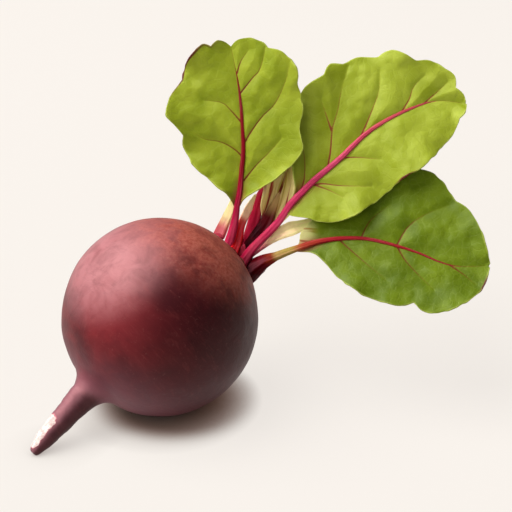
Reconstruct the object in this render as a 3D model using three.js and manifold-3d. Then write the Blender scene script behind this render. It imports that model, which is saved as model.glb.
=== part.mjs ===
// Beetroot with its leaves, lying on a small flat spot. Millimetres, +Z up.
// The origin is the middle of the flat spot, the taproot points to the front left
// and the leaves rise from the crown at the back right.
import * as THREE from 'three';
import Module from 'manifold-3d';
import { mergeVertices } from 'three/addons/utils/BufferGeometryUtils.js';

// The root: a round bulb, a crown where the leaves sit, and a thin taproot.
const BULB_DIAMETER = 74;
const REST_SPOT_DIAMETER = 18;
const CROWN_DIAMETER = 25;
const CROWN_LEAN = 7; // degrees between the line of the taproot and the crown
const TAPROOT_LENGTH = 31;
const TAPROOT_NECK_DIAMETER = 13;
const TAPROOT_DROOP = 2;

// The leaves.
const LEAF_SCALE = 1; // size of every blade
const STEM_SCALE = 1; // thickness of every leaf stem, and how far they spread
const LEAF_THICKNESS = 1;
const GAP = 0.3; // clearance between pieces that touch

const ROOT_LINE = new THREE.Vector3(0.655, 0.575, 0.485).normalize(); // taproot to bulb
const bulbRadius = BULB_DIAMETER / 2;
const restRadius = REST_SPOT_DIAMETER / 2;
const crownRadius = CROWN_DIAMETER / 2;
const bulbHeight = Math.sqrt(bulbRadius ** 2 - restRadius ** 2);
const bulbCentre = new THREE.Vector3(0, 0, bulbHeight);

// The crown: its outward direction, one direction across it and one to its front.
const crownOut = new THREE.Vector3(0.72, 0.58, 0.38).normalize();
const crownAcross = new THREE.Vector3(0.63, -0.33, -0.7).cross(crownOut).cross(crownOut)
  .normalize().negate();
const crownFront = crownAcross.clone().cross(crownOut).normalize();
const crownHeight = Math.sqrt(bulbRadius ** 2 - crownRadius ** 2);
const crownCentre = bulbCentre.clone().addScaledVector(crownOut, crownHeight);

const group = new THREE.Group();
group.name = 'beetroot';

const COLOURS = {
  skin: 0x5a2a2e, crimson: 0x9a1632, pink: 0xc23a56, leaf: 0x8a9c22, deep_leaf: 0x6f8212,
  young: 0xb99a5a,
};

function add(name, geometry, colour) {
  geometry.deleteAttribute('uv');
  geometry.deleteAttribute('normal');
  const closed = mergeVertices(geometry, 1e-4);
  closed.computeVertexNormals();
  const material = new THREE.MeshStandardMaterial({ color: COLOURS[colour], roughness: 0.6 });
  const mesh = new THREE.Mesh(closed, material);
  mesh.name = name;
  group.add(mesh);
}

// Moves every vertex of a geometry to the place that a formula gives it.
function shape(geometry, place) {
  const position = geometry.attributes.position;
  const point = new THREE.Vector3();
  for (let i = 0; i < position.count; i++) {
    point.fromBufferAttribute(position, i);
    const moved = place(point);
    position.setXYZ(i, moved.x, moved.y, moved.z);
  }
  return geometry;
}

const wasm = await Module();
wasm.setup();

// Cuts a closed geometry flat at the floor.
function trimmedAtFloor(geometry) {
  geometry.deleteAttribute('uv');
  geometry.deleteAttribute('normal');
  const merged = mergeVertices(geometry, 1e-4);
  const index = Array.from(merged.index.array);
  const faces = [];
  for (let i = 0; i < index.length; i += 3) {
    const [a, b, c] = index.slice(i, i + 3);
    if (a !== b && b !== c && c !== a) faces.push(a, b, c);
  }
  const mesh = new wasm.Mesh({
    numProp: 3, vertProperties: merged.attributes.position.array,
    triVerts: Uint32Array.from(faces),
  });
  const cut = new wasm.Manifold(mesh).trimByPlane([0, 0, 1], 0).getMesh();
  const result = new THREE.BufferGeometry();
  const corners = new Float32Array(cut.numVert * 3);
  for (let i = 0; i < cut.numVert; i++) {
    for (let k = 0; k < 3; k++) corners[3 * i + k] = cut.vertProperties[cut.numProp * i + k];
  }
  result.setAttribute('position', new THREE.BufferAttribute(corners, 3));
  result.setIndex(new THREE.BufferAttribute(Uint32Array.from(cut.triVerts), 1));
  return result;
}

// ---- The root -------------------------------------------------------------------------
function rootGeometry() {
  const neck = TAPROOT_NECK_DIAMETER / 2;
  const end = -bulbRadius - TAPROOT_LENGTH;
  const profile = [[0, end], [1, end + 0.4]];
  // Taproot: radius as a fraction of the neck against the distance from its tip.
  const taper = [[0.04, 0.22], [0.1, 0.29], [0.19, 0.45], [0.31, 0.57], [0.45, 0.63],
    [0.6, 0.66], [0.76, 0.72], [0.9, 0.84]];
  for (const [way, width] of taper) {
    profile.push([neck * width, end + way * TAPROOT_LENGTH]);
  }
  // The shoulder where the taproot opens into the bulb.
  profile.push([neck * 0.98, -bulbRadius - 1.6], [neck * 1.15, -bulbRadius - 0.4],
    [neck * 1.5, -bulbRadius + 0.9]);
  // The round bulb up to the rim of the crown.
  const first = Math.asin((neck * 2) / bulbRadius);
  const last = Math.PI - Math.asin(crownRadius / bulbRadius);
  const steps = 24;
  for (let i = 0; i <= steps; i++) {
    const angle = first + ((last - first) * i) / steps;
    profile.push([bulbRadius * Math.sin(angle), -bulbRadius * Math.cos(angle)]);
  }
  profile.push([crownRadius * 0.5, crownHeight], [0, crownHeight]);
  const points = profile.map(([r, y]) => new THREE.Vector2(r, y));
  const lathe = new THREE.LatheGeometry(points, 48);
  const stand = new THREE.Quaternion().setFromUnitVectors(
    new THREE.Vector3(0, 1, 0), ROOT_LINE);
  const leanAxis = ROOT_LINE.clone().cross(crownOut).normalize();
  return trimmedAtFloor(shape(lathe, (p) => {
    const along = p.y;
    const moved = p.clone().applyQuaternion(stand);
    if (along > 0) {
      // The upper half turns towards the crown, and stays round as it does.
      const part = THREE.MathUtils.smoothstep(along, 0, crownHeight);
      moved.applyAxisAngle(leanAxis, THREE.MathUtils.degToRad(CROWN_LEAN) * part);
    } else if (along < -bulbRadius * 0.9) {
      const way = (-bulbRadius * 0.9 - along) / (TAPROOT_LENGTH + bulbRadius * 0.1);
      moved.z -= TAPROOT_DROOP * way * way;
    }
    return moved.add(bulbCentre);
  }));
}
add('beet_root', rootGeometry(), 'skin');

// ---- Stems ----------------------------------------------------------------------------
// A place beside the crown's middle: x, y, z in the object's directions.
// Thicker stems spread in the same measure, so that they stay clear of each other.
function fromCrown([x, y, z]) {
  return crownCentre.clone().addScaledVector(new THREE.Vector3(x, y, z), STEM_SCALE);
}

// Where a stem is seated on the crown: mm across it, mm to its front, mm out of it.
function seat([across, front], out) {
  return crownCentre.clone().addScaledVector(crownAcross, across * STEM_SCALE)
    .addScaledVector(crownFront, front * STEM_SCALE).addScaledVector(crownOut, out);
}

// A value that runs smoothly through evenly spaced stations, for part = 0 to 1.
function station(values, part) {
  const place = THREE.MathUtils.clamp(part, 0, 1) * (values.length - 1);
  const i = Math.min(Math.floor(place), values.length - 2);
  const blend = THREE.MathUtils.smoothstep(place - i, 0, 1);
  return values[i] + (values[i + 1] - values[i]) * blend;
}

// A closed sweep along a smooth path. widths and depths are half sizes at stations.
function sweep(points, widths, depths, face, steps, sides) {
  const path = new THREE.CatmullRomCurve3(points);
  const towards = new THREE.Vector3(...face);
  return shape(new THREE.CylinderGeometry(1, 1, 1, sides, steps), (p) => {
    const part = THREE.MathUtils.clamp(p.y + 0.5, 0, 1);
    const tangent = path.getTangentAt(part);
    const side = tangent.clone().cross(towards).normalize();
    const up = side.clone().cross(tangent);
    return path.getPointAt(part).addScaledVector(side, p.x * station(widths, part))
      .addScaledVector(up, p.z * station(depths, part));
  });
}

// ---- Blades ---------------------------------------------------------------------------
// One side of a blade's edge: a chain of lobes from the base to the tip, each a smooth
// line through its points [mm to the side, mm along the leaf], with a notch between lobes.
function edgeCurve(start, lobes) {
  const path = new THREE.CurvePath();
  let from = start;
  for (const lobe of lobes) {
    const points = [from, ...lobe].map(([x, y]) => new THREE.Vector3(x, y, 0));
    path.add(points.length > 2 ? new THREE.CatmullRomCurve3(points)
      : new THREE.LineCurve3(points[0], points[1]));
    from = lobe[lobe.length - 1];
  }
  return path;
}

// The frame of a blade: where it starts, along the leaf, out of its face and across it.
function bladeFrame(leaf) {
  const along = new THREE.Vector3(...leaf.along).normalize();
  const face = new THREE.Vector3(...leaf.face);
  face.addScaledVector(along, -face.dot(along)).normalize();
  return { base: fromCrown(leaf.base), along, face, across: along.clone().cross(face) };
}

function bladeGeometry(leaf) {
  const { base, along, face, across } = bladeFrame(leaf);
  const left = edgeCurve([-1.3, 0], leaf.left);
  const right = edgeCurve([1.3, 0], leaf.right);
  const middle = edgeCurve([0, 0], [leaf.rib]);
  const length = leaf.rib[leaf.rib.length - 1][1];
  return shape(new THREE.BoxGeometry(1, 1, 1, 6, 32, 1), (p) => {
    const part = THREE.MathUtils.clamp(p.y + 0.5, 0, 1);
    const out = Math.abs(p.x) * 2;
    const spot = middle.getPointAt(part);
    spot.lerp((p.x < 0 ? left : right).getPointAt(part), out);
    // The sides lift beside the rib, the edge waves, and the tip curls back.
    const lift = leaf.cup * out ** 1.6 * (1 - 0.6 * part)
      - leaf.curl * THREE.MathUtils.clamp(spot.y / length, 0, 1.2) ** 2.5
      + leaf.wave * out ** 2 * Math.sin(Math.PI * (leaf.waves * part + (p.x < 0 ? 0 : 0.7)))
        * THREE.MathUtils.smoothstep(part, 0, 0.25);
    return base.clone()
      .addScaledVector(across, spot.x * LEAF_SCALE)
      .addScaledVector(along, spot.y * LEAF_SCALE)
      .addScaledVector(face, lift * LEAF_SCALE + p.z * LEAF_THICKNESS);
  });
}

// Every grown leaf: its seat on the crown, the way of its stem, the stem's radius at
// stations, then the blade: base, directions, both edges, the rib and how it is curved.
const LEAVES = [
  {
    name: 'left_leaf', colour: 'leaf', stemColour: 'pink',
    seat: [-5.5, 2.5], way: [[1, 3, 9], [3, 4.5, 17]], radii: [2.1, 1.7, 1.3, 1.2],
    base: [4.5, 5.5, 23], along: [-0.06, 0.25, 0.97], face: [-0.12, -0.96, 0.24],
    left: [[[-2.5, 5], [-7, 8], [-16.5, 16], [-20, 23.5], [-19.5, 27]],
      [[-23, 32], [-25, 35.5], [-24, 41], [-19, 47.5]],
      [[-17.5, 53], [-12, 59]], [[-9.5, 60.5], [-7, 59.5]], [[-4, 61.5], [-1, 60]]],
    right: [[[3, 1], [7.5, 4], [15, 9], [22, 14.5], [26, 20], [25, 27], [26.5, 34],
      [25, 44.5]], [[25.5, 48.5], [23, 53]], [[19.5, 56.5], [14.5, 58]],
    [[11.5, 60.5], [7, 62], [3, 61.5], [1, 60]]],
    rib: [[1.5, 8], [3, 17], [3, 27.5], [2.5, 42.5], [0, 59]],
    cup: 3.5, curl: 4, wave: 1.3, waves: 5,
  },
  {
    name: 'right_leaf', colour: 'leaf', stemColour: 'pink',
    seat: [3.5, 3], way: [[9.5, -0.5, 6], [18, 2, 16.5]], radii: [2.5, 1.8, 1.5, 1.2],
    base: [26, 3, 25], along: [0.87, 0.19, 0.46], face: [-0.08, -0.86, 0.51],
    left: [[[-3.5, 2], [-8.5, 4], [-17.5, 8], [-27, 14.5], [-35, 23], [-36, 33]],
      [[-38.5, 37], [-36.5, 41.5]], [[-36.5, 47.5], [-32.5, 55]],
      [[-32, 60.5], [-24, 66.5]], [[-21.5, 71.5], [-16.5, 74.5]],
      [[-12, 77], [-7.5, 75.5]], [[-4, 76.5], [-1.2, 75.8]]],
    right: [[[3.5, -2], [6, -1], [11, 3.5], [15, 9], [17, 17], [16, 25.5], [13.5, 39]],
      [[13.5, 48.5], [7.5, 59.5]], [[6.5, 66], [2, 71]], [[2, 74], [0.8, 75.2]]],
    rib: [[-3, 10], [-5, 21], [-9, 37.5], [-9, 54], [-6.5, 66], [-0.5, 74.8]],
    cup: 3, curl: 5, wave: 1.5, waves: 6,
  },
  {
    name: 'low_leaf', colour: 'deep_leaf', stemColour: 'crimson',
    seat: [8.6, -0.5], way: [[13, -3.5, 1.5], [19.5, -6, 6]], radii: [3.3, 3, 1.4, 1.2],
    base: [28, -7, 9.5], along: [0.99, -0.16, -0.01], face: [-0.11, -0.71, 0.69],
    left: [[[-5, 1.5], [-9.5, 3.5], [-18, 9.5], [-27, 20], [-33.5, 33], [-33, 48],
      [-24, 56.5]], [[-21, 61.5], [-12, 67]], [[-5.5, 69.5], [-1, 71]]],
    right: [[[2, 4.5], [5, 9], [11, 15], [17, 23.5], [19.5, 32]], [[20.5, 38], [18, 44]],
      [[20.5, 46.5], [21.5, 52.5], [18, 61], [9, 69], [1, 71]]],
    rib: [[-3, 7], [-5, 16], [-5.5, 25], [-2.5, 42], [1.5, 56.5], [0, 70.5]],
    cup: 1.5, curl: 4.5, wave: 1.2, waves: 5,
  },
  {
    name: 'middle_leaf', colour: 'deep_leaf', stemColour: 'crimson',
    seat: [3, -5], way: [[11, 8, 2.5]], radii: [2.1, 1.9, 1.5],
    base: [16, 11.5, 13.5], along: [0.24, 0.3, 0.92], face: [0, -0.94, 0.33],
    left: [[[-4, 2], [-6, 11], [-7.5, 21.5], [-7.5, 33.5]], [[-4.5, 43], [-1, 47]]],
    right: [[[4, 6.5], [8, 13.5], [11.5, 20.5], [13, 31]], [[11, 40.5], [1, 47]]],
    rib: [[1.5, 12], [2, 24], [1.5, 36], [0, 46.5]],
    cup: 3, curl: 5, wave: 0.8, waves: 3,
  },
  {
    name: 'back_leaf', colour: 'deep_leaf', stemColour: 'crimson',
    seat: [-0.5, -1], way: [[7, 6, 4], [9.5, 10, 10], [12, 15, 19]],
    radii: [2.1, 1.9, 1.7, 1.3],
    base: [15, 19.5, 26], along: [-0.17, 0.64, 0.75], face: [0.1, -0.74, 0.66],
    left: [[[-6, 3], [-12.5, 10.5], [-16, 20.5], [-15.5, 30]],
      [[-12.5, 38.5], [-6, 44]], [[-3, 45.5], [-1, 45]]],
    right: [[[6.5, 5], [11.5, 12.5], [13.5, 22.5]], [[12.5, 33], [7.5, 41.5]],
      [[4, 45], [1, 45]]],
    rib: [[1, 13], [1.5, 28], [0, 44.5]],
    cup: 3, curl: 7, wave: 1, waves: 4,
  },
];

for (const leaf of LEAVES) {
  const frame = bladeFrame(leaf);
  const points = [seat(leaf.seat, GAP), seat(leaf.seat, 4 * STEM_SCALE),
    ...leaf.way.map(fromCrown),
    frame.base.clone().addScaledVector(frame.along, -GAP - 3),
    frame.base.clone().addScaledVector(frame.along, -GAP)];
  const radii = leaf.radii.map((r) => r * STEM_SCALE);
  add(`${leaf.name}_stem`, sweep(points, radii, radii, leaf.face, 16, 12), leaf.stemColour);
  add(`${leaf.name}_blade`, bladeGeometry(leaf), leaf.colour);
}

// ---- Young leaves ---------------------------------------------------------------------
// Each is a stem that opens straight into a narrow folded blade, all in one piece.
const YOUNG_LEAVES = [
  {
    name: 'front_young_leaf', seat: [-1.8, 3.5], face: [0.3, -0.9, 0.2],
    way: [[4, 4.5, 7], [5, 7, 12.5], [7, 10, 19], [8, 12.5, 23]],
    widths: [1.4, 1.3, 1.3, 1.8, 2.4, 0.5], depths: [1.3, 1.2, 1, 0.8, 0.7, 0.4],
  },
  {
    name: 'left_young_leaf', seat: [-9.3, 0], face: [-0.5, -0.8, 0.2],
    way: [[-3, 9.5, 8.5], [0, 11, 14], [2.5, 13, 20], [4, 15.5, 26]],
    widths: [1.6, 1.5, 1.8, 2.8, 3.2, 0.5], depths: [1.4, 1.2, 1, 0.8, 0.7, 0.4],
  },
  {
    name: 'right_young_leaf', seat: [3.2, -1.2], face: [-0.1, -0.8, 0.6],
    way: [[12, 4.5, 5.5], [16.5, 4, 10.5], [23.5, 3.5, 15.5], [32, 5, 18.5],
      [40, 8, 21]],
    widths: [1.3, 1.2, 1.2, 2.2, 4, 3, 0.5], depths: [1.2, 1.1, 1, 0.9, 0.7, 0.6, 0.4],
  },
];

for (const leaf of YOUNG_LEAVES) {
  const points = [seat(leaf.seat, GAP), seat(leaf.seat, 4 * STEM_SCALE),
    ...leaf.way.map(fromCrown)];
  const widths = leaf.widths.map((r) => r * STEM_SCALE);
  const depths = leaf.depths.map((r) => r * STEM_SCALE);
  add(leaf.name, sweep(points, widths, depths, leaf.face, 18, 12), 'young');
}

export default group;
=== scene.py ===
"""Beetroot with its leaves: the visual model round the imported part, laid out as an add-on."""

import math

import bpy
import numpy as np
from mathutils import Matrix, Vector


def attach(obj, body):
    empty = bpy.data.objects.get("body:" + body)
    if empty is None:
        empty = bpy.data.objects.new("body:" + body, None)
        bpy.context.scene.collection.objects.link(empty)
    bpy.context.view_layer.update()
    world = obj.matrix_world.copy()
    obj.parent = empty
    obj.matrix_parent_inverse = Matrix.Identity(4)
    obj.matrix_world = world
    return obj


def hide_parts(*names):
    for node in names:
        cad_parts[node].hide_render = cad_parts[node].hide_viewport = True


bl_info = {
    "name": "Beetroot",
    "version": (1, 0, 0),
    "blender": (4, 5, 0),
    "location": "View3D > Sidebar > Beetroot",
    "description": "A fresh beetroot: bulb and taproot, leaf stems, blades and young leaves",
    "category": "Object",
}

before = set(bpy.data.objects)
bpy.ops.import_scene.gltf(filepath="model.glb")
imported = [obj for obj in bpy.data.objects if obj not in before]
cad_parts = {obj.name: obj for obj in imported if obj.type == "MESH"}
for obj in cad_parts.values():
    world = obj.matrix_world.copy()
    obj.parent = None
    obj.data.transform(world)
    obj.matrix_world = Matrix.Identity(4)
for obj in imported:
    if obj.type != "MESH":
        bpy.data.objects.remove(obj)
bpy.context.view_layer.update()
MM = 0.001

# Sizes that the part was made with, in millimetres.
BULB_RADIUS = 37.0
REST_RADIUS = 9.0
CROWN_RADIUS = 12.5
CROWN_LEAN = 7.0
TAPROOT_LENGTH = 31.0
TAPROOT_DROOP = 2.0

# How finely pieces are made: points along the root's outline, a stem, a blade's rib and
# margins, and a side vein.
PROFILE_STEPS = 1200
LINE_STEPS = 1500
BLADE_STEPS = 2000
VEIN_STEPS = 40


def unit(vector):
    vector = np.array(vector, float)
    return vector / np.linalg.norm(vector)


ROOT_LINE = unit((0.655, 0.575, 0.485))
CROWN_OUT = unit((0.72, 0.58, 0.38))
CROWN_ACROSS = -unit(np.cross(np.cross((0.63, -0.33, -0.7), CROWN_OUT), CROWN_OUT))
CROWN_FRONT = unit(np.cross(CROWN_ACROSS, CROWN_OUT))
BULB_CENTRE = np.array((0, 0, math.sqrt(BULB_RADIUS**2 - REST_RADIUS**2)))
CROWN_HEIGHT = math.sqrt(BULB_RADIUS**2 - CROWN_RADIUS**2)
CROWN_CENTRE = BULB_CENTRE + CROWN_OUT * CROWN_HEIGHT


# ---- Lines and soft noise ---------------------------------------------------------------
def even(line, count):
    """Points evenly spaced along a line of many points."""
    line = np.asarray(line, float)
    way = np.concatenate([[0], np.cumsum(np.linalg.norm(np.diff(line, axis=0), axis=1))])
    at = np.linspace(0, way[-1], count)
    return np.stack([np.interp(at, way, line[:, k]) for k in range(line.shape[1])], axis=1)


def smooth_line(points, count):
    """Evenly spaced points on a smooth line that passes through the given ones."""
    p = np.array(points, float)
    p = np.vstack([2 * p[0] - p[1], p, 2 * p[-1] - p[-2]])
    out = []
    for a, b, c, d in zip(p[:-3], p[1:-2], p[2:-1], p[3:]):
        tb = np.linalg.norm(b - a) ** 0.5
        tc = tb + np.linalg.norm(c - b) ** 0.5
        td = tc + np.linalg.norm(d - c) ** 0.5
        t = np.linspace(tb, tc, 32, endpoint=False)[:, None]
        ab = (a * (tb - t) + b * t) / tb
        bc = (b * (tc - t) + c * (t - tb)) / (tc - tb)
        cd = (c * (td - t) + d * (t - tc)) / (td - tc)
        abc = (ab * (tc - t) + bc * t) / tc
        bcd = (bc * (td - t) + cd * (t - tb)) / (td - tb)
        out.append((abc * (tc - t) + bcd * (t - tb)) / (tc - tb))
    return even(np.vstack([*out, p[-2:-1]]), count)


def ease(value, low, high):
    """0 below low, 1 above high, and smooth between."""
    t = np.clip((value - low) / (high - low), 0, 1)
    return t * t * (3 - 2 * t)


def lumps(points, size, seed):
    """Soft noise from -1 to 1 at points in mm, with lumps about size mm wide."""
    points = np.asarray(points, float) / size
    cell = np.floor(points).astype(int)
    t = points - cell
    t = t * t * t * (t * (t * 6 - 15) + 10)
    total = np.zeros(len(points))
    for corner in np.ndindex(*(2,) * points.shape[1]):
        c = cell + corner
        h = seed * 1013
        for k, prime in enumerate((374761, 668265, 982451)[: points.shape[1]]):
            h = (h + c[:, k] * prime) & 0x7FFFFFFF
            h = (h ^ (h >> 13)) * 1274126177 & 0x7FFFFFFF
        value = (h ^ (h >> 16)) % 4096 / 2047.5 - 1
        total += value * np.prod(np.where(corner, t, 1 - t), axis=1)
    return total


# ---- Meshes -----------------------------------------------------------------------------
def start_clean():
    """Deselects everything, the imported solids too."""
    bpy.ops.object.select_all(action="DESELECT")


def vertex_places(mesh):
    """Where a mesh's vertices are, as rows."""
    flat = np.empty(len(mesh.vertices) * 3)
    mesh.vertices.foreach_get("co", flat)
    return flat.reshape(-1, 3)


def place_vertices(mesh, places_mm):
    """Moves a mesh's vertices to places in millimetres."""
    mesh.vertices.foreach_set("co", (places_mm * MM).ravel())
    mesh.update()


def paint(mesh, name, values):
    """Keeps a number, or three, at every vertex for the material to read."""
    values = np.asarray(values, float)
    kind = "FLOAT_VECTOR" if values.ndim == 2 else "FLOAT"
    layer = mesh.attributes.new(name, kind, "POINT")
    layer.data.foreach_set("vector" if values.ndim == 2 else "value", values.ravel())


def face_out(obj):
    """Turns every face outwards and shades the piece smooth."""
    start_clean()
    obj.select_set(True)
    bpy.context.view_layer.objects.active = obj
    bpy.ops.object.mode_set(mode="EDIT")
    bpy.ops.mesh.select_all(action="SELECT")
    bpy.ops.mesh.remove_doubles(threshold=1e-6)
    bpy.ops.mesh.normals_make_consistent(inside=False)
    bpy.ops.object.mode_set(mode="OBJECT")
    bpy.ops.object.shade_smooth()


def ball(name, segments, rings):
    """A closed ball to shape: its object, each vertex's way from pole to pole, its angle."""
    start_clean()
    bpy.ops.mesh.primitive_uv_sphere_add(segments=segments, ring_count=rings, radius=1)
    obj = bpy.context.object
    obj.name = obj.data.name = name
    places = vertex_places(obj.data)
    way = np.arccos(np.clip(places[:, 2], -1, 1)) / math.pi
    return obj, way, np.arctan2(places[:, 1], places[:, 0])


def finish_piece(obj, cad_node, materials):
    """Gives a piece its materials, hangs it on the root's body and hides the imported part that
    it stands in for.
    """
    for material in materials:
        obj.data.materials.append(material)
    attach(obj, "root")
    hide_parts(cad_node)


# ---- Materials --------------------------------------------------------------------------
def linear(colour):
    """Linear red, green, blue and alpha from an sRGB hex value such as #7a2f36."""
    parts = [int(colour[i : i + 2], 16) / 255 for i in (1, 3, 5)]
    return (*[c / 12.92 if c <= 0.04045 else ((c + 0.055) / 1.055) ** 2.4 for c in parts], 1)


def node(tree, kind, inputs=None, out=0, **settings):
    """Adds a node with its settings, and a link, a value or an sRGB hex for each input. Gives
    the output to link on, or the node itself where it has none."""
    made = tree.nodes.new("ShaderNode" + kind)
    for key, value in settings.items():
        setattr(made, key, value)
    for key, value in (inputs or {}).items():
        if isinstance(value, bpy.types.NodeSocket):
            tree.links.new(value, made.inputs[key])
        else:
            made.inputs[key].default_value = linear(value) if isinstance(value, str) else value
    return made.outputs[out] if made.outputs else made


def new_material(name):
    """An empty node material and its tree."""
    material = bpy.data.materials.new(name)
    material.use_nodes = True
    material.node_tree.nodes.clear()
    return material, material.node_tree


def lumpy(size_mm, detail=3.0, distortion=0.0, roughness=0.55):
    """Inputs of a noise with lumps about size_mm wide, on coordinates in metres."""
    return {"Scale": 1000 / size_mm, "Detail": detail, "Distortion": distortion,
            "Roughness": roughness}


def product(tree, *terms):
    """Multiplies numbers, outputs and smooth ranges. A range is (output, low, high), and may
    go on with what it gives at low and at high in place of 0 and 1."""
    whole = None
    for term in terms:
        if isinstance(term, tuple):
            source, low, high, at_low, at_high = (*term, 0.0, 1.0)[:5]
            term = node(tree, "MapRange", {
                "Value": source, "From Min": low, "From Max": high, "To Min": at_low,
                "To Max": at_high}, interpolation_type="SMOOTHSTEP")
        if whole is not None:
            term = node(tree, "Math", {0: whole, 1: term}, operation="MULTIPLY")
        whole = term
    return whole


def total(tree, start, *terms):
    """A number or output plus (output, weight) terms."""
    for source, weight in terms:
        start = node(tree, "Math", {0: source, 1: weight, 2: start}, operation="MULTIPLY_ADD")
    return start


def layers(tree, base, *coats):
    """Lays coats over a colour. A coat is its colour, then the terms of how much it covers."""
    for colour, *terms in coats:
        # A colour mix has its factor at input 0, its colours at 6 and 7, its result at 2.
        base = node(tree, "Mix", {0: product(tree, *terms), 6: base, 7: colour}, 2,
                    data_type="RGBA")
    return base


def beet_skin(settings):
    """Periderm of a washed beetroot: dull dark crimson skin with a faint waxy shine, brown
    and grainy on the shoulder round the crown, greyer purple below, fine streaks that run
    round it, and white fibres where the taproot's end is scraped. A painted highlight
    lightens the bulb's upper left and a stripe along the taproot, and painted shade darkens
    the bulb's right front side."""
    material, tree = new_material("beetroot_periderm")
    place = node(tree, "TexCoord", out="Object")
    height = node(tree, "SeparateXYZ", {"Vector": place}, "Z")
    around = node(tree, "Attribute", out="Vector", attribute_name="grain")
    shoulder, crown, tail, painted_highlight, shade, scrape = [
        node(tree, "Attribute", out="Fac", attribute_name=name)
        for name in ("shoulder", "crown", "tail", "painted_highlight", "shade", "scrape")]
    broad = node(tree, "TexNoise", {"Vector": place, **lumpy(26, 2.0, 0.5)})
    blotch = node(tree, "TexNoise", {"Vector": place, **lumpy(7, 4.0, 0.5, 0.6)})
    fleck = node(tree, "TexNoise", {"Vector": place, **lumpy(1.3, 3.0, 0.0, 0.7)})
    streak = node(tree, "TexNoise", {"Vector": around, **lumpy(1.1, 4.0, 0.3, 0.65)})
    shreds = node(tree, "TexNoise", {"Vector": place, **lumpy(2.6, 4.0, 0.8)})
    # The shoulder has weathered to a grainy brown, and the crown to cork.
    rust = layers(tree, "#84382e", ("#9c564a", (fleck, 0.3, 0.7)))
    cork = layers(tree, "#2c0c10", ("#6c3028", (fleck, 0.35, 0.65)))
    # White inner fibres show through in a ragged patch with a pink edge.
    ragged = total(tree, -0.4, (scrape, 1.0), (shreds, 0.8))
    fibre = layers(tree, "#cfc4be", ("#b39c98", (fleck, 0.4, 0.62)))
    base = layers(
        tree, tuple(settings.skin_deep),
        (tuple(settings.skin_warm), (broad, 0.38, 0.62)),
        ("#6a2022", (blotch, 0.5, 0.68, 0, 0.25)),
        ("#34090f", (blotch, 0.48, 0.32, 0, 0.2)),
        ("#5c2530", tail, 0.5),
        # Painted highlight: paler pink where the key light falls on the bulb's upper left, and
        # along the taproot.
        ("#a06a6e", painted_highlight, (blotch, 0.25, 0.65, 0.45, 0.8)),
        ("#6e4650", (height, 0.042, 0.014), 0.75),
        # Painted shade: near black on the bulb's right front side, away from the key light.
        ("#200409", shade, 0.8),
        (rust, shoulder, (blotch, 0.3, 0.6, 0.35, 0.95)),
        ("#8a4440", (streak, 0.5, 0.75, 0, 0.1)),
        ("#2c080d", (streak, 0.46, 0.28, 0, 0.12)),
        ("#94605a", (fleck, 0.6, 0.75, 0, 0.12)),
        (cork, crown),
        ("#a8646e", (ragged, 0.36, 0.5)),
        (fibre, (ragged, 0.5, 0.56)))
    rough = total(tree, 0.41, (blotch, 0.16), (crown, 0.2), (shoulder, 0.08))
    bump = total(tree, 0.0, (blotch, 1.4), (fleck, 0.16), (streak, 0.18))
    relief = node(tree, "Bump", {"Height": bump, "Strength": 0.5, "Distance": 0.0004})
    shader = node(tree, "BsdfPrincipled", {
        "Base Color": base, "Roughness": rough, "Normal": relief,
        "Specular IOR Level": 0.3, "Specular Tint": "#ffb8b2"})
    node(tree, "OutputMaterial", {"Surface": shader})
    return material


def stem_skin(name, colours, streaks=0.12, gloss=0.14, thread="#6a0818"):
    """Epidermis of a beet leaf stalk: smooth, moist and glossy, ribbed along its length,
    with paler fibres under a crimson skin."""
    material, tree = new_material(name)
    place = node(tree, "TexCoord", out="Object")
    grain = node(tree, "Attribute", out="Vector", attribute_name="grain")
    tint = node(tree, "Attribute", out="Fac", attribute_name="tint")
    base = node(tree, "ValToRGB", {"Fac": tint})
    bands = base.node.color_ramp
    bands.interpolation = "EASE"
    bands.elements[0].color = linear(colours[0][1])
    bands.elements[1].color = linear(colours[-1][1])
    for at, colour in colours[1:-1]:
        bands.elements.new(at).color = linear(colour)
    fibre = node(tree, "TexNoise", {"Vector": grain, **lumpy(1.3, 3.0, 0.2)})
    blotch = node(tree, "TexNoise", {"Vector": place, **lumpy(4)})
    grit = node(tree, "TexNoise", {"Vector": place, **lumpy(0.7)})
    base = layers(
        tree, base,
        ("#e58a9a", (fibre, 0.5, 0.7, 0, streaks)),
        (thread, (fibre, 0.46, 0.3, 0, 0.4)),
        ("#7e0f22", (blotch, 0.5, 0.75, 0, 0.25)))
    rough = total(tree, 0.24, (blotch, 0.2))
    bump = total(tree, fibre, (grit, 0.2))
    relief = node(tree, "Bump", {"Height": bump, "Strength": 0.5, "Distance": 0.00025})
    shader = node(tree, "BsdfPrincipled", {
        "Base Color": base, "Roughness": rough, "Normal": relief,
        "Specular IOR Level": gloss, "Specular Tint": "#ffb4c0"})
    node(tree, "OutputMaterial", {"Surface": shader})
    return material


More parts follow.
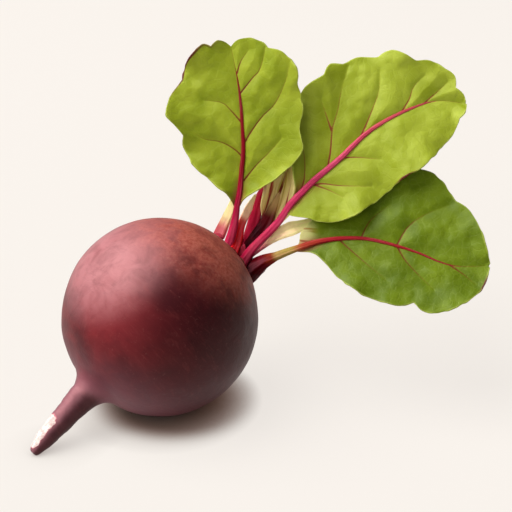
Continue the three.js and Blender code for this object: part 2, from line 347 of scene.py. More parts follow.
def leaf_skin(name, deep, light, vein, under=False):
    """Beet leaf tissue: thin, slightly waxy and translucent yellow-green, lighter beside the
    crimson main veins, cream with red streaks where it is young, and with a thin paler
    margin. The swellings between the veins carry a painted highlight. The underside is
    duller and paler, and its fine net of veins shows."""
    material, tree = new_material(name)
    along = node(tree, "UVMap", uv_map="UVMap")
    vein_gap, vein_red, edge_gap, rim_red, from_base, swell, pale = [
        node(tree, "Attribute", out="Fac", attribute_name=kept)
        for kept in ("vein_gap", "vein_red", "edge_gap", "rim_red", "from_base", "swell",
                     "pale")]
    broad = node(tree, "TexNoise", {"Vector": along, **lumpy(18, 2.0, 0.4)})
    patch = node(tree, "TexNoise", {"Vector": along, **lumpy(5, 3.0, 0.4)})
    fine = node(tree, "TexNoise", {"Vector": along, **lumpy(0.8)})
    # The fine net of veins is about 2.8 mm across a mesh, and its lines bend a little.
    mesh_mm, sway_m = 2.778, 0.0022
    warp = node(tree, "TexNoise", {"Vector": along, **lumpy(2 * mesh_mm, 2.0, 0.0, 0.5)},
                "Color")
    sway = node(tree, "VectorMath", {0: warp, 1: (sway_m,) * 3}, operation="MULTIPLY")
    bent = node(tree, "VectorMath", {0: along, 1: sway}, operation="ADD")
    net = node(tree, "TexVoronoi", {"Vector": bent, "Scale": 1000 / mesh_mm}, "Distance",
               feature="DISTANCE_TO_EDGE")
    mesh_line = product(tree, (net, 0.1, 0.0))
    # Young tissue is cream, with crimson streaks along it.
    stretched = node(tree, "Mapping", {"Vector": along, "Scale": (1.0, 0.07, 1.0)})
    lines = node(tree, "TexNoise", {"Vector": stretched, **lumpy(3.0, 3.0, 0.5)})
    cream = layers(tree, "#fff0ac", ("#b02c40", (lines, 0.57, 0.64)),
                   ("#cdbc5c", (lines, 0.44, 0.36)))
    base = layers(
        tree, deep,
        (light, (broad, 0.36, 0.64)),
        # Painted highlight: the swellings between the veins are lighter, as where they catch
        # the light.
        (light, swell, 0.45),
        (deep, (patch, 0.5, 0.3, 0, 0.3)),
        ("#b9c25a", (fine, 0.55, 0.75, 0, 0.12)),
        ("#b7c268", mesh_line, 0.3 if under else 0.05),
        (light, (vein_gap, 1.1, 0.0, 0, 0.4)),
        ("#b9c25c", (edge_gap, 0.5, 0.1, 0, 0.5)),
        (cream, pale),
        ("#b0384c", (from_base, 12.0, 0.0), 0.6, (vein_gap, 3.0, 0.2)),
        (vein, (vein_gap, 0.12, -0.1), vein_red),
        ("#5c1212", (edge_gap, 0.6, 0.3), rim_red))
    if under:
        base = layers(tree, base, ("#a9b377", 0.25))
    rough = total(tree, 0.55 if under else 0.46, (patch, 0.2))
    bump = total(tree, 0.0, (mesh_line, -0.3), (patch, 1.6), (fine, 0.3))
    relief = node(tree, "Bump", {"Height": bump, "Strength": 0.5, "Distance": 0.0003})
    skin = node(tree, "BsdfPrincipled", {
        "Base Color": base, "Roughness": rough, "Normal": relief,
        "Specular IOR Level": 0.25})
    glow = layers(tree, base, ("#a8c022", 0.4))
    through = node(tree, "BsdfTranslucent", {"Color": glow, "Normal": relief})
    shader = node(tree, "MixShader", {"Fac": 0.28, 1: skin, 2: through})
    node(tree, "OutputMaterial", {"Surface": shader})
    return material


# ---- The root ---------------------------------------------------------------------------
def root_profile(count):
    """(radius, distance along the root's line) from the taproot's tip to the crown."""
    end = -BULB_RADIUS - TAPROOT_LENGTH
    points = [(0, end), (1.1, end + 0.2), (1.8, end + 1.1), (2.3, end + 2.8),
              (3.0, end + 5.6), (3.6, end + 9.3), (4.0, end + 13.8), (4.35, end + 18.6),
              (4.9, end + 23.2), (5.9, end + 27.3), (7.4, -BULB_RADIUS - 0.8),
              (9.8, -BULB_RADIUS + 1.1)]
    first, last = math.asin(13.5 / BULB_RADIUS), math.pi - math.asin(13.2 / BULB_RADIUS)
    for angle in np.linspace(first, last, 26):
        points.append((BULB_RADIUS * math.sin(angle), -BULB_RADIUS * math.cos(angle)))
    points += [(11.5, CROWN_HEIGHT + 0.55), (8, CROWN_HEIGHT + 0.9), (0, CROWN_HEIGHT + 1.2)]
    return smooth_line(points, count)


def turned(points, axis, angles):
    """Points turned about an axis through the origin, each by its own angle."""
    c, s = np.cos(angles)[:, None], np.sin(angles)[:, None]
    return points * c + np.cross(axis, points) * s + axis * (points @ axis)[:, None] * (1 - c)


class BEET_OT_root(bpy.types.Operator):
    """Shapes the bulb, its crown and its taproot from one closed ball"""

    bl_idname = "beet.root"
    bl_label = "Root"

    def execute(self, context):
        settings = context.scene.beetroot
        obj, way, angle = ball("beet_root_skin", segments=256, rings=300)
        profile = root_profile(PROFILE_STEPS)
        at = (1 - way) * (len(profile) - 1)
        radius = np.interp(at, np.arange(len(profile)), profile[:, 0])
        along = np.interp(at, np.arange(len(profile)), profile[:, 1])
        side = unit(np.cross(ROOT_LINE, (0, 0, 1)))
        up = np.cross(side, ROOT_LINE)
        ring = np.cos(angle)[:, None] * side + np.sin(angle)[:, None] * up
        body = ring * radius[:, None] + ROOT_LINE * along[:, None]
        # Lumps of growth, and the finer rings that ripple round the thin taproot.
        tail = ease(along, -BULB_RADIUS + 1, -BULB_RADIUS - 6)
        out = body / np.maximum(np.linalg.norm(body, axis=1), 1e-6)[:, None]
        out = out * (1 - tail)[:, None] + ring * tail[:, None]
        bent = body + 3 * np.stack([lumps(body, 15, seed) for seed in (11, 12, 13)], 1)
        swell = (0.45 * lumps(body, 24, 1) + 0.16 * lumps(bent, 9, 2)
                 + 0.04 * lumps(bent, 3.5, 3)) * settings.lumpiness
        swell *= 1 - 0.55 * tail
        swell += tail * np.minimum(radius / 4, 1) * (
            0.16 * lumps(np.stack([along, along * 0, along * 0], 1), 1.7, 4)
            + 0.22 * lumps(body, 2.6, 5))
        swell += 0.7 * ease(out @ unit((0, 0.42, 0.9)), 0.3, 1)
        # Leaf scars ring the crown.
        reach = np.linalg.norm(body - CROWN_OUT * (body @ CROWN_OUT)[:, None], axis=1)
        near = ease(body @ CROWN_OUT, 20, 34)
        crown = near * ease(reach, 17, 12.5)
        swell += crown * (0.35 * np.sin(reach * 2.1 + lumps(body, 5, 6) * 2)
                          + 0.5 * lumps(body, 3, 7))
        body = body + out * swell[:, None]
        lean = unit(np.cross(ROOT_LINE, CROWN_OUT))
        body = turned(body, lean, np.radians(CROWN_LEAN) * ease(along, 0, CROWN_HEIGHT))
        droop = np.maximum(-BULB_RADIUS * 0.9 - along, 0) / (
            TAPROOT_LENGTH + BULB_RADIUS * 0.1)
        body[:, 2] -= TAPROOT_DROOP * droop**2
        places = body + BULB_CENTRE
        places[:, 2] = np.maximum(places[:, 2], 0)
        place_vertices(obj.data, places)
        # The scraped patch lies on the taproot's upper side near its tip.
        upper = ring @ unit((-0.7, 0.1, 0.65))
        from_tip = along + BULB_RADIUS + TAPROOT_LENGTH
        scrape = ease(upper, 0.1, 0.85) * ease(from_tip, 17, 11) * ease(from_tip, 0, 2.5)
        paint(obj.data, "scrape", scrape)
        paint(obj.data, "crown", crown)
        paint(obj.data, "tail", tail)
        top = ease(out @ unit((0.5, 0.2, 0.85)), 0.5, 0.97)
        paint(obj.data, "shoulder", np.maximum(top, crown) * (1 - tail))
        # A painted highlight on the bulb's upper left, where the key light falls, and along the
        # taproot's side that faces the camera.
        painted_highlight = ease(out @ unit((-0.46, -0.25, 0.85)), 0.65, 0.98)
        painted_highlight = painted_highlight * (1 - tail) + 1.8 * tail * ease(
            ring @ unit((0.05, -0.75, 0.62)), 0.3, 0.95)
        paint(obj.data, "painted_highlight", painted_highlight)
        # Painted shade on the bulb's right front side, away from the key light.
        paint(obj.data, "shade", ease(out @ unit((0.75, -0.6, 0.0)), 0.15, 0.9))
        paint(obj.data, "grain", np.stack([
            np.cos(angle) * radius * 0.22, np.sin(angle) * radius * 0.22, along], 1) * MM)
        face_out(obj)
        finish_piece(obj, "beet_root", [beet_skin(settings)])
        return {"FINISHED"}


# ---- Leaves -----------------------------------------------------------------------------
# Every grown leaf: its seat on the crown, the way of its stem, the stem's radius at
# stations, then the blade's start and directions, its edges as lobes between notches, its
# rib, its side veins, and how it curves. Millimetres, (to the side, along) on the blade.
# red_rim and pale are patches of the blade: where the middle is, its reach and strength.
LEAVES = {
    "left_leaf": dict(
        seat=(-5.5, 2.5), way=[(1, 3, 9), (2.8, 4.5, 16)], radii=(2.1, 1.85, 1.5, 1.15),
        start=(-1.6, -4), rib_radii=(0.9, 0.6, 0.22),
        base=(4.5, 5.5, 23), along=(-0.06, 0.25, 0.97), face=(-0.12, -0.96, 0.24),
        left=[[(-2.2, -1.3), (-2.8, 1), (-3.5, 3), (-4.9, 5.1), (-7.6, 7.2), (-16.5, 16),
               (-20, 23.5), (-19.5, 27)],
              [(-23, 32), (-25, 35.5), (-24, 41), (-19, 47.5)],
              [(-17.5, 53), (-12, 59)], [(-9.5, 60.5), (-7, 59.5)], [(-4, 61.5), (-1, 60)]],
        right=[[(0.3, -1.3), (1.3, 0.5), (2.9, 2.1), (7.3, 4.7), (15, 9), (22, 14.5),
                (26, 20), (25, 27), (26.5, 34), (25, 44.5)],
               [(25.5, 48.5), (23, 53)], [(19.5, 56.5), (14.5, 58)],
               [(11.5, 60.5), (7, 62), (3, 61.5), (1, 60)]],
        rib=[(0.7, 5), (1.7, 12), (2.8, 19), (3, 27.5), (2.5, 42.5), (0, 59)],
        veins=[[(3, 16.5), (0, 20), (-5.5, 23.5), (-11.5, 25), (-16, 28)],
               [(3, 30), (-1, 35), (-4, 38), (-11, 39.5)],
               [(2, 49), (3.5, 53), (6.5, 57)],
               [(3, 41.5), (8, 47), (10.5, 49.5), (13.5, 58)],
               [(3, 22), (6, 26.5), (11, 32.5), (15.5, 36.5), (20.5, 45.5), (22.5, 52)],
               [(2.5, 8.5), (7.5, 14), (12.5, 18.5), (18, 24)]],
        cup=3.5, curl=4, wave=1.3, waves=5, red_rim=(-15, 52, 19, 1)),
    "right_leaf": dict(
        seat=(3.5, 3), way=[(9.5, -0.5, 6), (19.3, 2, 16.2)], radii=(2.5, 1.8, 1.45, 1.3),
        start=(1.5, -6),
        base=(26, 3, 25), along=(0.87, 0.19, 0.46), face=(-0.08, -0.86, 0.51),
        left=[[(0.2, -3), (-3.5, 2), (-8.5, 4), (-17.5, 8), (-27, 14.5), (-35, 23), (-36, 33)],
              [(-38.5, 37), (-36.5, 41.5)], [(-36.5, 47.5), (-32.5, 55)],
              [(-32, 60.5), (-24, 66.5)], [(-21.5, 71.5), (-16.5, 74.5)],
              [(-12, 76.8), (-7.3, 74.5)], [(-4, 75.8), (-1.2, 75.4)]],
        right=[[(2.9, -5.4), (4.3, -4.6), (7.9, -0.6), (12.6, 4), (15.5, 9.5), (17, 17),
                (16, 25.5), (13.5, 39)],
               [(13.5, 48.5), (9.3, 59.5)], [(8.2, 64), (5.5, 67.8), (3.8, 69.2)],
               [(3, 72), (1.4, 74), (0.2, 75)]],
        rib=[(-3, 10), (-5, 21), (-9, 37.5), (-9, 54), (-6.5, 66), (-0.5, 74.8)],
        rib_radii=(1.1, 0.75, 0.25),
        veins=[[(-1, 2), (-5, 6.5), (-11.5, 10.5), (-22, 14.5)],
               [(-5, 17), (-10, 21), (-16.5, 25.5), (-22, 31), (-28, 36), (-35, 43)],
               [(-16.5, 25), (-21.5, 26), (-28.5, 27.5)],
               [(-8.5, 33), (-12.5, 38.5), (-16.5, 43.5), (-21, 48.5), (-27, 52.5)],
               [(-9, 51), (-12.5, 57), (-15.5, 60.5), (-17.5, 66.5)],
               [(-8, 60), (-9.5, 67), (-11, 73)],
               [(-5.5, 22.5), (-3, 27.5), (2.5, 35.5)],
               [(-2, 7.5), (-0.5, 11.5), (4, 17.5), (10, 27.5)],
               [(-2, 8.5), (3.5, 13), (8.5, 16)]],
        cup=3, curl=5, wave=1.5, waves=6, red_rim=(13, 40, 6, 1)),
    "low_leaf": dict(
        seat=(8.6, -0.5), way=[(13, -3.5, 1.5), (19.5, -6, 6)], radii=(3.7, 3.6, 1.6, 1.15),
        start=(1.2, -3),
        base=(28, -7, 9.5), along=(0.99, -0.16, -0.01), face=(-0.11, -0.71, 0.69),
        left=[[(-2.2, -0.9), (-5.5, -0.8), (-9.8, 2.2), (-18, 9.5), (-27, 20),
                (-33.5, 33), (-33, 48), (-24, 56.5)],
              [(-21, 61.5), (-12, 67)], [(-5.5, 69.5), (-1, 71)]],
        right=[[(2, 4.5), (5, 9), (11, 15), (17, 23.5), (19.5, 32)], [(20.5, 38), (18, 44)],
               [(20.5, 46.5), (21.5, 52.5), (18, 61), (9, 69), (1, 71)]],
        rib=[(-3, 7), (-5, 16), (-5.5, 25), (-2.5, 42), (1.5, 56.5), (0, 70.5)],
        gloss=0.02, rib_radii=(0.75, 0.5, 0.18),
        veins=[[(-4.8, 13.5), (0, 19.5), (5, 26), (10, 33)],
               [(-3.5, 36), (1.5, 39.5), (5.5, 43.5), (12, 51)],
               [(-3.5, 35.5), (-12, 39.5), (-17.5, 45.5), (-22.5, 54.5)],
               [(-5.3, 22), (-13, 25), (-20, 32)],
               [(1.5, 56), (5, 62), (8, 66)]],
        cup=1.5, curl=4.5, wave=1.2, waves=5, red_rim=(8, 70, 5, 1),
        pale=(-5.8, -1.2, 8.5, 0.5)),
    "middle_leaf": dict(
        seat=(3, -5), way=[(9, 6, 5)], radii=(3, 3.2, 2.4), start=(-1, -3),
        base=(16, 11.5, 13.5), along=(0.24, 0.3, 0.92), face=(0, -0.94, 0.33),
        left=[[(-3, 0.5), (-4.5, 5), (-5, 12), (-5, 21.5), (-4.5, 33.5)],
              [(-3.5, 43), (-1, 47)]],
        right=[[(4.5, 0), (8.5, 6), (11, 13.5), (13, 21), (13, 31)],
               [(11, 40.5), (1, 47)]],
        rib=[(1.5, 12), (2, 24), (1.5, 36), (0, 46.5)], rib_radii=(0.7, 0.4, 0.2),
        gloss=0.05, veins=None, cup=3, curl=5, wave=0.8, waves=3, pale=(0, 8, 38, 1),
        folds=1.1),
    "back_leaf": dict(
        seat=(-0.5, -1), way=[(7, 6, 4), (9.5, 10, 10), (12, 15, 19)],
        radii=(3.2, 2.9, 2.5, 1.8), start=(0, -3),
        base=(15, 19.5, 26), along=(-0.17, 0.64, 0.75), face=(0.1, -0.74, 0.66),
        left=[[(-6, 3), (-12.5, 10.5), (-16, 20.5), (-15.5, 30)],
              [(-12.5, 38.5), (-6, 44)], [(-3, 45.5), (-1, 45)]],
        right=[[(6.5, 5), (11.5, 12.5), (13.5, 22.5)], [(12.5, 33), (7.5, 41.5)],
               [(4, 45), (1, 45)]],
        rib=[(1, 13), (1.5, 28), (0, 44.5)],
        veins=[], cup=3, curl=7, wave=1, waves=4),
}

# Each young leaf is a stem that opens into a narrow folded blade, all in one piece.
YOUNG_LEAVES = {
    "front_young_leaf": dict(
        seat=(-1.8, 3.5), face=(0.3, -0.9, 0.2),
        way=[(3.6, 4.5, 7), (5, 6.8, 12.5), (7.7, 10, 18), (10.8, 12.5, 23.5)],
        widths=(1.8, 2, 1.8, 1.6, 1.6, 0.4), depths=(1.4, 1.3, 1, 0.7, 0.6, 0.3)),
    "left_young_leaf": dict(
        seat=(-9.3, 0), face=(-0.5, -0.8, 0.2),
        way=[(-3.9, 9.5, 6), (-1, 11, 12.5), (2, 13, 19.5), (4, 15.5, 26)],
        widths=(2.6, 2.8, 2.5, 2.1, 1.5, 0.4), depths=(1.5, 1.3, 1, 0.8, 0.6, 0.3)),
    "right_young_leaf": dict(
        seat=(3.2, -1.2), face=(-0.1, -0.8, 0.6),
        way=[(12, 4, 4.9), (17, 3.2, 9.4), (23.5, 2.3, 13), (31, 3.5, 15), (38, 6, 17)],
        widths=(1.4, 1.4, 1.7, 2.4, 2.8, 2, 0.4), depths=(1.2, 1.1, 1, 0.8, 0.6, 0.5, 0.3)),
}


def from_crown(place):
    """A place in mm given from the middle of the crown."""
    return CROWN_CENTRE + np.array(place, float)


def seated(seat, out):
    """A place on the crown, (across, to the front), and how far out of it."""
    return CROWN_CENTRE + CROWN_ACROSS * seat[0] + CROWN_FRONT * seat[1] + CROWN_OUT * out


def edge_line(start, lobes, count):
    """Evenly spaced points along a margin: smooth within each lobe, notched between."""
    parts, here = [], start
    for lobe in lobes:
        parts.append(smooth_line([here, *lobe], 60)[:-1])
        here = lobe[-1]
    return even(np.vstack([*parts, [here]]), count)


def directions(leaf):
    """Unit vectors along the blade, out of its face and across it."""
    along = unit(leaf["along"])
    face = np.array(leaf["face"], float)
    face = unit(face - along * (face @ along))
    return along, face, np.cross(along, face)


def side_veins(leaf):
    """The given side veins, or a plain feather of them where none are given."""
    if leaf["veins"] is None:
        return []
    if leaf["veins"]:
        return [smooth_line(vein, VEIN_STEPS) for vein in leaf["veins"]]
    # Each vein leaves the rib at a station and ends further up the margin, in hundredths.
    rib = smooth_line([leaf["start"], *leaf["rib"]], 100)
    made = []
    for side, name in ((-1, "left"), (1, "right")):
        edge = edge_line((side * 1.3, 0), leaf[name], 100)
        for start in (12, 28, 45, 62, 78):
            end = edge[min(start + 22, 97)]
            begin = rib[start]
            bend = begin * 0.45 + end * 0.55 + np.array((side * 1.0, -1.5))
            made.append(smooth_line([begin, bend, end * 0.94 + begin * 0.06], VEIN_STEPS))
    return made


def nearest(line, points):
    """Distance from each point to a line of many points, and how far along that is."""
    best = np.full(len(points), 1e9)
    way = np.zeros(len(points))
    for i, (a, b) in enumerate(zip(line[:-1], line[1:])):
        d = b - a
        t = np.clip(((points - a) @ d) / (d @ d), 0, 1)
        gap = np.linalg.norm(points - a - t[:, None] * d, axis=1)
        closer = gap < best
        best[closer] = gap[closer]
        way[closer] = (i + t[closer]) / (len(line) - 1)
    return best, way


def blade_lift(leaf, spot, part, out, side):
    """How far the blade rises out of its plane, before its finer puckers."""
    length = leaf["rib"][-1][1]
    out = out * ease(part, 1, 0.96)
    return (leaf["cup"] * out**1.6 * (1 - 0.6 * part) * ease(part, 0, 0.14)
            - leaf["curl"] * np.clip(spot[:, 1] / length, 0, 1.2) ** 2.5
            + leaf["wave"] * out**2 * ease(part, 0, 0.25)
            * np.sin(math.pi * (leaf["waves"] * part + np.where(side < 0, 0, 0.7))))


def on_blade(leaf, spot, lift):
    """Places in mm of spots given on the blade's plane."""
    along, face, across = directions(leaf)
    return (from_crown(leaf["base"]) + spot[:, :1] * across + spot[:, 1:] * along
            + lift[:, None] * face)


def make_blade(name, leaf, settings, materials):
    """One leaf's blade: a grid laid between its rib and margins, puckered and thickened."""
    rows, half = 260, 56
    start_clean()
    bpy.ops.mesh.primitive_grid_add(x_subdivisions=half * 2, y_subdivisions=rows, size=2)
    obj = bpy.context.object
    obj.name = obj.data.name = name + "_blade_skin"
    mesh = obj.data
    flat = vertex_places(mesh)
    part, side = np.clip((flat[:, 1] + 1) / 2, 0, 1), flat[:, 0]
    out = np.abs(side)
    lines = {key: edge_line(start, leaf[key], BLADE_STEPS)
             for key, start in (("left", leaf["start"] - np.array((0.1, 0))),
                                ("right", leaf["start"] + np.array((0.1, 0))))}
    rib = smooth_line([leaf["start"], *leaf["rib"]], BLADE_STEPS)
    at = np.round(part * (BLADE_STEPS - 1)).astype(int)
    middle = rib[at]
    edge = np.where((side < 0)[:, None], lines["left"][at], lines["right"][at])
    spot = middle + (edge - middle) * out[:, None]
    seed = sum(map(ord, name)) % 97
    # Small frills and teeth along the margin.
    ends = ease(part, 0.03, 0.12) * ease(part, 0.995, 0.95)
    frill = lumps(np.stack([part * 60 + np.where(side < 0, 0, 500), part * 0], 1), 1.6, seed)
    spot = spot + unit_rows(edge - middle) * (
        frill * (0.08 if "folds" in leaf else 0.3) * ends * out**6)[:, None]
    # The base of the blade tucks in behind its stem.
    lift = blade_lift(leaf, spot, part, out, side) - 0.6 * ease(part, 0.07, 0)
    # The tissue swells between the veins, which lie in the valleys.
    gap, way = nearest(rib[::40], spot)
    vein_gap = gap - 0.55 * (1 - way) - 0.12
    vein_red = np.where(way > 0.85, 0.5, 1.0)
    for vein in side_veins(leaf):
        g, w = nearest(vein, spot)
        g_out = g - (0.3 * (1 - w) + 0.08)
        closer = g_out < vein_gap
        vein_gap = np.where(closer, g_out, vein_gap)
        vein_red = np.where(closer, 1 - 0.75 * w**1.5, vein_red)
        gap = np.minimum(gap, g)
    swell = 1 - np.exp(-gap / 3.5)
    if "folds" in leaf:
        bow = spot[:, 0] + (spot[:, 1] - 11) ** 2 / 50
        lift = lift + leaf["folds"] * np.sin(bow * 1.1) * ease(part, 0, 0.1)
    pucker, ruffled = settings.pucker / MM, settings.ruffle / MM
    lift = lift + pucker * swell * (ease(part, 0, 0.15) + 0.55 * lumps(spot, 7, seed + 1)
                                    + 0.22 * lumps(spot, 3, seed + 2))
    # The margin ruffles up and down.
    ruffle = lumps(np.stack([part * 60 + np.where(side < 0, 0, 300), part * 0], 1), 5.5,
                   seed + 3)
    lift = lift + ruffled * ruffle * out**4 * ease(part, 0.02, 0.2) * ease(part, 1, 0.96)
    place_vertices(mesh, on_blade(leaf, spot, lift))
    edge_gap = np.linalg.norm(edge - spot, axis=1)
    edge_gap = np.minimum(edge_gap, np.linalg.norm(spot - rib[-1], axis=1) + 0.3)
    both = np.vstack([lines["left"][::20], lines["right"][::20][::-1]])
    edge_gap = np.minimum(edge_gap, np.where(out > 0.5, nearest(both, spot)[0], 99))
    paint(mesh, "vein_gap", np.minimum(vein_gap, 9))
    paint(mesh, "vein_red", vein_red)
    paint(mesh, "edge_gap", edge_gap)
    paint(mesh, "from_base", np.linalg.norm(spot, axis=1))
    paint(mesh, "swell", swell * ease(part, 0.05, 0.2))
    # A leaf without a patch has it far off the blade.
    for label, key in (("rim_red", "red_rim"), ("pale", "pale")):
        x, y, reach, most = leaf.get(key, (0, -50, 1, 1))
        apart = np.linalg.norm(spot - (x, y), axis=1)
        paint(mesh, label, most * ease(apart, reach, reach * 0.2))
    loops = np.empty(len(mesh.loops), int)
    mesh.loops.foreach_get("vertex_index", loops)
    mesh.uv_layers["UVMap"].data.foreach_set("uv", (spot[loops] * MM).ravel())
    for polygon in mesh.polygons:
        polygon.use_smooth = True
    wall = obj.modifiers.new("Leaf thickness", "SOLIDIFY")
    wall.thickness = settings.leaf_thickness
    wall.offset = 0
    wall.material_offset = 1
    start_clean()
    obj.select_set(True)
    bpy.context.view_layer.objects.active = obj
    bpy.ops.object.modifier_apply(modifier=wall.name)
    finish_piece(obj, name + "_blade", materials)


def unit_rows(rows):
    """Each row as a unit vector."""
    return rows / np.maximum(np.linalg.norm(rows, axis=1), 1e-6)[:, None]


def tube(name, line, widths, depths, face, segments=28, fold=0.0):
    """A closed stalk along a line, with fine ribs and a shallow channel on its face."""
    obj, way, angle = ball(name, segments, rings=220)
    line = even(line, LINE_STEPS)
    part = np.clip(way, 0, 1)
    at = np.round(part * (LINE_STEPS - 1)).astype(int)
    tangents = unit_rows(np.gradient(line, axis=0))
    tangent, centre = tangents[at], line[at]
    side = unit_rows(np.cross(tangent, unit(face)))
    up = np.cross(side, tangent)
    # Both ends come out round.
    ends = np.sqrt(np.clip(1 - (1 - np.clip(np.minimum(part, 1 - part) / 0.012, 0, 1)) ** 2,
                           0, 1))
    channel = 0.14 * np.exp(-(((angle - math.pi / 2) / 0.45) ** 2))
    rib = 1 + 0.05 * np.cos(angle * 7 + 0.6) - channel
    rib = rib + 0.04 * lumps(np.stack([part * 40, np.cos(angle)], 1), 2.5, len(name))
    width, depth = np.interp(part, *widths) * ends * rib, np.interp(part, *depths) * ends * rib
    x, y = np.cos(angle) * width, np.sin(angle) * depth
    # A folded blade bends up on both sides of its rib.
    y = y + fold * np.abs(np.cos(angle)) ** 1.5 * np.maximum(width - 1.2, 0)
    length = np.linalg.norm(np.diff(line, axis=0), axis=1).sum()
    place_vertices(obj.data, centre + side * x[:, None] + up * y[:, None])
    paint(obj.data, "tint", part)
    paint(obj.data, "grain", np.stack([np.cos(angle) * 0.0016, np.sin(angle) * 0.0016,
                                       part * length * MM * 0.07], 1))
    face_out(obj)
    return obj


def stem_line(leaf):
    """From inside the crown, along the stem and the blade's rib to near its tip."""
    points = [seated(leaf["seat"], -1), seated(leaf["seat"], 4),
              *[from_crown(p) for p in leaf["way"]]]
    rib = smooth_line([leaf["start"], *leaf["rib"]], 1000)
    part = np.linspace(0.05, 0.9, 12)
    spot = rib[(part * 999).astype(int)]
    none = np.zeros(len(part))
    lift = blade_lift(leaf, spot, part, none, none) + np.linspace(0.9, 0, 12)
    points += list(on_blade(leaf, spot, lift))
    return smooth_line(points, LINE_STEPS)


STEM_COLOURS = {
    "left_leaf": [(0, "#b4264c"), (0.2, "#b01c44"), (0.33, "#94102e"), (0.45, "#780c1a"),
                  (1, "#681410")],
    "right_leaf": [(0, "#7c0a22"), (0.13, "#a0163c"), (0.3, "#b83058"), (0.5, "#b43a5c"),
                   (0.8, "#a63c46"), (1, "#8c3430")],
    # The low and middle stems are near black towards the crown: painted shade where they sit
    # crowded among the other stems.
    "low_leaf": [(0, "#200004"), (0.16, "#400208"), (0.2, "#68200f"), (0.23, "#8c7440"),
                 (0.28, "#8c7a3a"), (0.34, "#8e3422"), (0.45, "#8e2026"), (1, "#701c18")],
    "middle_leaf": [(0, "#1c0004"), (0.3, "#260106"), (0.4, "#581018"), (0.5, "#c0a068"),
                    (1, "#a09858")],
    "back_leaf": [(0, "#7c081c"), (0.22, "#b4143a"), (0.42, "#b01a3a"), (0.6, "#6c121a"),
                  (1, "#6a1418")],
}
LEAF_COLOURS = {
    "left_leaf": ("#7c8c08", "#9ca828", "#701014"),
    "right_leaf": ("#86940c", "#a2ae34", "#8c1e28"),
    # The low leaf's greens are darker than the others: painted shade from the right leaf above
    # it.
    "low_leaf": ("#4a6000", "#6c800a", "#6c2210"),
    "middle_leaf": ("#5c6c0c", "#7f8f24", "#7a1820"),
    "back_leaf": ("#566808", "#7d8f22", "#7a1820"),
}


class BEET_OT_leaf_stems(bpy.types.Operator):
    """Sweeps each leaf's stem from the crown out along the rib of its blade"""

    bl_idname = "beet.leaf_stems"
    bl_label = "Leaf stems"

    def execute(self, context):
        for name, leaf in LEAVES.items():
            line = stem_line(leaf)
            whole = np.linalg.norm(np.diff(line, axis=0), axis=1).sum()
            blade = leaf["rib"][-1][1] * 0.92 / whole
            neck = 1 - blade
            radii = leaf["radii"]
            places = [*np.linspace(0, neck, len(radii)), neck + blade * 0.3,
                      neck + blade * 0.7, 1]
            sizes = [*radii, *leaf.get("rib_radii", (1.0, 0.65, 0.25))]
            obj = tube(name + "_stem_skin", line, (places, sizes), (places, sizes),
                       leaf["face"])
            skin = stem_skin(name + "_stalk_epidermis", STEM_COLOURS[name],
                             gloss=leaf.get("gloss", 0.14))
            finish_piece(obj, name + "_stem", [skin])
        return {"FINISHED"}


class BEET_OT_leaf_blades(bpy.types.Operator):
    """Lays out each leaf's blade, with its lobes, veins, puckers and thickness"""

    bl_idname = "beet.leaf_blades"
    bl_label = "Leaf blades"

    def execute(self, context):
        settings = context.scene.beetroot
        for name, leaf in LEAVES.items():
            deep, light, vein = LEAF_COLOURS[name]
            materials = [leaf_skin(name + "_upper_tissue", deep, light, vein),
                         leaf_skin(name + "_under_tissue", deep, light, vein, True)]
            make_blade(name, leaf, settings, materials)
        return {"FINISHED"}


class BEET_OT_young_leaves(bpy.types.Operator):
    """Sweeps the young leaves, each a stem that opens into a narrow folded blade"""

    bl_idname = "beet.young_leaves"
    bl_label = "Young leaves"

    def execute(self, context):
        colours = {
            "front_young_leaf": [(0, "#c80c18"), (0.5, "#e8202c"), (0.6, "#dc4c48"),
                                 (0.7, "#ffd6ae"), (1, "#fff0b4")],
            "left_young_leaf": [(0, "#7c0c1c"), (0.25, "#a02c40"), (0.42, "#b8585c"),
                                (0.62, "#e0d498"), (1, "#bcc068")],
            "right_young_leaf": [(0, "#8c1026"), (0.25, "#c03458"), (0.36, "#d8707c"),
                                 (0.5, "#f0dca4"), (1, "#c8cc74")],
        }
        for name, leaf in YOUNG_LEAVES.items():
            points = [seated(leaf["seat"], -1.5), seated(leaf["seat"], 2),
                      *[from_crown(p) for p in leaf["way"]]]
            places = np.linspace(0, 1, len(leaf["widths"]))
            obj = tube(name + "_skin", smooth_line(points, LINE_STEPS),
                       (places, leaf["widths"]), (places, leaf["depths"]), leaf["face"],
                       segments=48, fold=0.35)
            finish_piece(obj, name,
                         [stem_skin(name + "_epidermis", colours[name], 0.25,
                                    thread="#a82038")])
        return {"FINISHED"}


# ---- Stage ------------------------------------------------------------------------------
def aim(obj, target):
    """Turns a lamp or the camera towards a point."""
    obj.rotation_euler = (Vector(target) - obj.location).to_track_quat("-Z", "Y").to_euler()


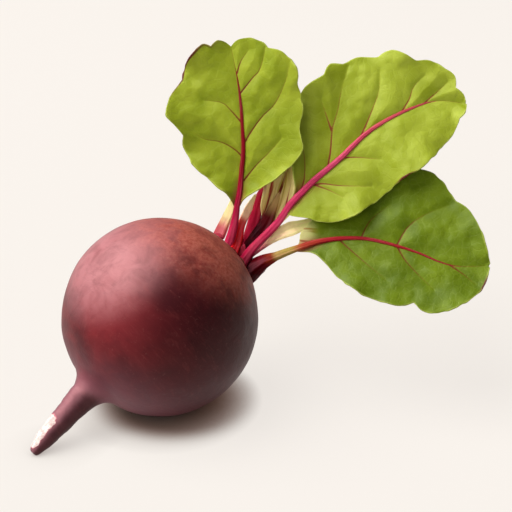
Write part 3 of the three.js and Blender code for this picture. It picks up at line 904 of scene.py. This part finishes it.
class BEET_OT_stage(bpy.types.Operator):
    """Adds the pale floor, the soft studio lights and the camera"""

    bl_idname = "beet.stage"
    bl_label = "Stage"

    def execute(self, context):
        settings = context.scene.beetroot
        pale = tuple(settings.floor_colour)
        start_clean()
        bpy.ops.mesh.primitive_plane_add(size=8, location=(0, 0, 0))
        floor = context.object
        floor.name = "studio_floor"
        material, tree = new_material("painted_studio_board")
        paper = node(tree, "BsdfDiffuse", {"Color": "#52504d", "Roughness": 0.6})
        # The glow dims and turns brown where the floor is hidden under the beet: a painted
        # contact shadow.
        open_sky = node(tree, "AmbientOcclusion", {"Distance": 0.016}, "AO", samples=16)
        # The painted contact shadow in the floor's glow is weakened away from a spot beside the
        # bulb, so the thin taproot hardly darkens the floor under it.
        place = node(tree, "TexCoord", out="Object")
        far = node(tree, "VectorMath", {0: place, 1: (0.008, 0.004, 0)}, "Value",
                   operation="DISTANCE")
        hidden = product(tree, total(tree, 1.0, (open_sky, -1.0)),
                         (far, 0.024, 0.04, 1.0, 0.3))
        open_part = total(tree, 1.0, (hidden, -1.0))
        fading = node(tree, "Math", {0: open_part, 1: 1.5}, operation="POWER")
        tone = layers(tree, "#a87864", (pale, (open_part, 0.2, 1.0)))
        glow = node(tree, "Emission", {
            "Strength": product(tree, fading, settings.floor_glow), "Color": tone})
        both = node(tree, "AddShader", {0: paper, 1: glow})
        node(tree, "OutputMaterial", {"Surface": both})
        floor.data.materials.append(material)
        # A pale wall stands far round the floor. It only fills the view, and sheds no light.
        start_clean()
        bpy.ops.mesh.primitive_cylinder_add(vertices=96, radius=3.9, depth=6,
                                            end_fill_type="NOTHING", location=(0, 0, 2.5))
        wall = context.object
        wall.name = "studio_wall"
        bpy.ops.object.shade_smooth()
        material, tree = new_material("painted_studio_wall")
        light = node(tree, "Emission", {"Strength": settings.floor_glow, "Color": pale})
        node(tree, "OutputMaterial", {"Surface": light})
        wall.data.materials.append(material)
        wall.visible_diffuse = wall.visible_glossy = wall.visible_shadow = False
        wall.visible_transmission = False
        for name, place, size, power, colour, shines in (
            ("key_softbox", (-1.0, 0.05, 1.7), 1.8, 100, "#fffdfa", True),
            ("front_softbox", (-0.9, -1.4, 0.8), 1.2, 13, "#fffefc", False),
        ):
            bpy.ops.object.light_add(type="AREA", location=place)
            lamp = context.object
            lamp.name = name
            lamp.data.size = size
            lamp.data.energy = power
            lamp.data.color = linear(colour)[:3]
            lamp.visible_glossy = shines
            aim(lamp, (0.02, 0, 0.05))
        world = bpy.data.worlds.new("studio_air")
        world.use_nodes = True
        sky = world.node_tree.nodes["Background"]
        sky.inputs["Color"].default_value = linear("#fffcf9")
        sky.inputs["Strength"].default_value = 0.14
        context.scene.world = world
        context.scene.view_settings.view_transform = "Standard"
        bpy.ops.object.camera_add()
        camera = context.object
        rise, distance = math.radians(25), 0.52
        target = np.array((36.0, 9.8, 56.9)) * MM
        back = np.array((0, -math.cos(rise), math.sin(rise)))
        camera.location = Vector(target + back * distance)
        aim(camera, Vector(target))
        camera.data.sensor_width = 36
        camera.data.lens = 97
        camera.data.clip_start, camera.data.clip_end = 0.02, 20
        context.scene.camera = camera
        return {"FINISHED"}


# ---- Add-on -----------------------------------------------------------------------------
class BeetrootSettings(bpy.types.PropertyGroup):
    """Colours and sizes that a user would change"""

    skin_deep: bpy.props.FloatVectorProperty(
        name="Deep skin", description="The skin's darker parts", subtype="COLOR", size=4,
        min=0, max=1, default=linear("#400e15"))
    skin_warm: bpy.props.FloatVectorProperty(
        name="Warm skin", description="The skin's redder parts", subtype="COLOR", size=4,
        min=0, max=1, default=linear("#62191f"))
    floor_colour: bpy.props.FloatVectorProperty(
        name="Floor", description="The floor and the wall", subtype="COLOR", size=4,
        min=0, max=1, default=linear("#f6f0ea"))
    floor_glow: bpy.props.FloatProperty(
        name="Floor glow", description="Light given off by the backlit floor",
        default=0.87, min=0, max=2)
    lumpiness: bpy.props.FloatProperty(
        name="Lumpiness", description="How uneven the bulb is", default=1.0, min=0, max=3)
    leaf_thickness: bpy.props.FloatProperty(
        name="Leaf thickness", description="Thickness of every blade", default=0.00045,
        min=0.0001, unit="LENGTH")
    pucker: bpy.props.FloatProperty(
        name="Pucker", description="How far the tissue swells between the veins",
        default=0.0014, min=0, max=0.003, unit="LENGTH")
    ruffle: bpy.props.FloatProperty(
        name="Ruffle", description="How far the leaf margins wave", default=0.0015, min=0,
        max=0.005, unit="LENGTH")


class BEET_PT_panel(bpy.types.Panel):
    """Lists the steps that build the beetroot"""

    bl_idname = "BEET_PT_panel"
    bl_label = "Beetroot"
    bl_space_type = "VIEW_3D"
    bl_region_type = "UI"
    bl_category = "Beetroot"

    def draw(self, context):
        settings = context.scene.beetroot
        for name in settings.__annotations__:
            self.layout.prop(settings, name)
        for step in STEPS:
            self.layout.operator(step.bl_idname)


STEPS = (BEET_OT_stage, BEET_OT_root, BEET_OT_leaf_stems, BEET_OT_leaf_blades,
         BEET_OT_young_leaves)
CLASSES = (BeetrootSettings, *STEPS, BEET_PT_panel)


def register():
    for cls in CLASSES:
        bpy.utils.register_class(cls)
    bpy.types.Scene.beetroot = bpy.props.PointerProperty(type=BeetrootSettings)


def unregister():
    del bpy.types.Scene.beetroot
    for cls in reversed(CLASSES):
        bpy.utils.unregister_class(cls)


def main():
    register()
    for step in STEPS:
        group, name = step.bl_idname.split(".")
        getattr(getattr(bpy.ops, group), name)()


if __name__ == "__main__":
    main()
